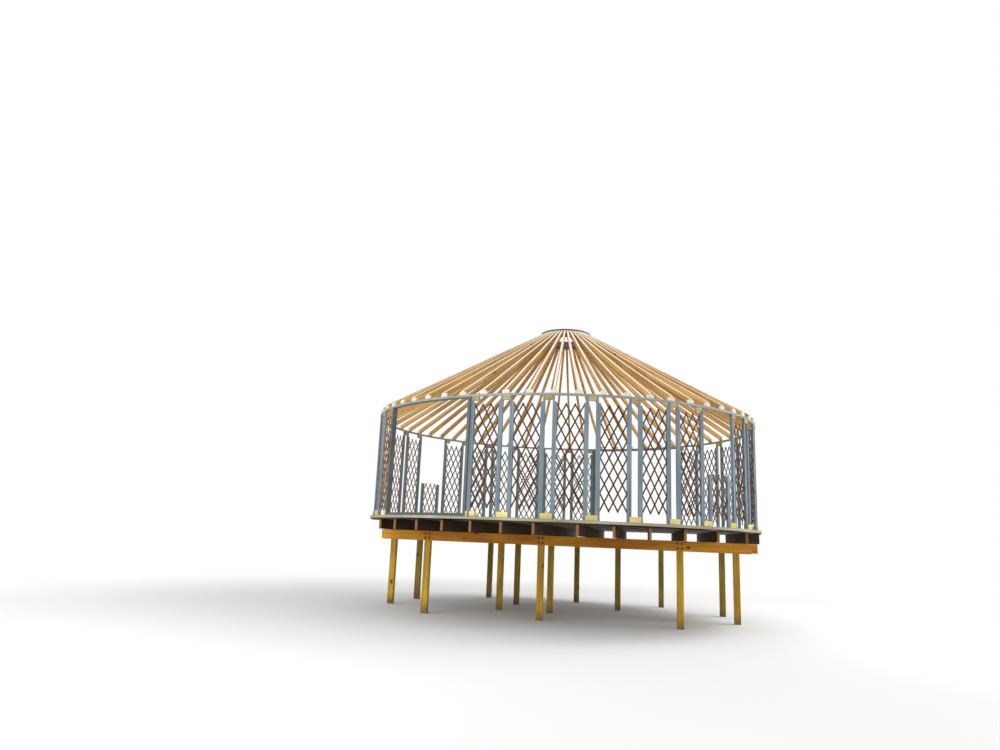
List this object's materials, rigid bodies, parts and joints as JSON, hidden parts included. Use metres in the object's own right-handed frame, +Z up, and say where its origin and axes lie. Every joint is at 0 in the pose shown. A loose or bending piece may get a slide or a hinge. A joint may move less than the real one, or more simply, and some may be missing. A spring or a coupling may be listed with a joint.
{
  "type": "yurt frame",
  "caption": "Round timber yurt frame with lattice walls, door openings and a cone of rafters up to an open crown hoop, on a deck raised on posts.",
  "frame": {"origin": "on the level floor that the posts stand on, under the centre of the round deck", "axes": "+Z up; -Y out through the middle of the first doorway; +X to the right for someone who looks at that doorway from outside"},
  "size_m": [8.16, 8.16, 6.065],
  "materials": {
    "post_timber": "rough sawn, weathered yellow",
    "bearer_timber": "planed golden pine with dark knots",
    "joist_timber": "rough sawn",
    "trimmer_timber": "dark rough sawn",
    "deck_board": "dull, dusty",
    "stud_timber": "grey stain, matt",
    "block_timber": "fresh sawn",
    "lattice_timber": "dark red-brown stain",
    "ring_steel": "dark grey, satin",
    "door_steel": "blue-grey, satin",
    "rafter_timber": "planed pine, pale tops",
    "cheek_timber": "off-white, matt",
    "crown_steel": "dark grey, matt"
  },
  "bodies": {
    "root": {"bearer_back": "bearer_timber", "bearer_front": "bearer_timber", "bearer_second": "bearer_timber", "bearer_third": "bearer_timber", "crown_hoop": "crown_steel", "deck": "deck_board", "door_head_back": "door_steel", "door_head_front": "door_steel", "door_jambs_back": "door_steel", "door_jambs_front": "door_steel", "door_threshold_back": "door_steel", "door_threshold_front": "door_steel", "foot_blocks": "block_timber", "head_blocks": "block_timber", "joists": "joist_timber", "lattice_inner_left_back": "lattice_timber", "lattice_inner_left_front": "lattice_timber", "lattice_inner_right_back": "lattice_timber", "lattice_inner_right_front": "lattice_timber", "lattice_outer_left_back": "lattice_timber", "lattice_outer_left_front": "lattice_timber", "lattice_outer_right_back": "lattice_timber", "lattice_outer_right_front": "lattice_timber", "posts_back": "post_timber", "posts_front": "post_timber", "posts_second": "post_timber", "posts_third": "post_timber", "rafter_cheeks_left_back": "cheek_timber", "rafter_cheeks_left_front": "cheek_timber", "rafter_cheeks_right_back": "cheek_timber", "rafter_cheeks_right_front": "cheek_timber", "rafters_left_back": "rafter_timber", "rafters_left_front": "rafter_timber", "rafters_right_back": "rafter_timber", "rafters_right_front": "rafter_timber", "stiles_left_back": "stud_timber", "stiles_left_front": "stud_timber", "stiles_right_back": "stud_timber", "stiles_right_front": "stud_timber", "studs_left_back": "stud_timber", "studs_left_front": "stud_timber", "studs_right_back": "stud_timber", "studs_right_front": "stud_timber", "trimmers": "trimmer_timber", "wall_ring": "ring_steel"}
  },
  "joints": []
}
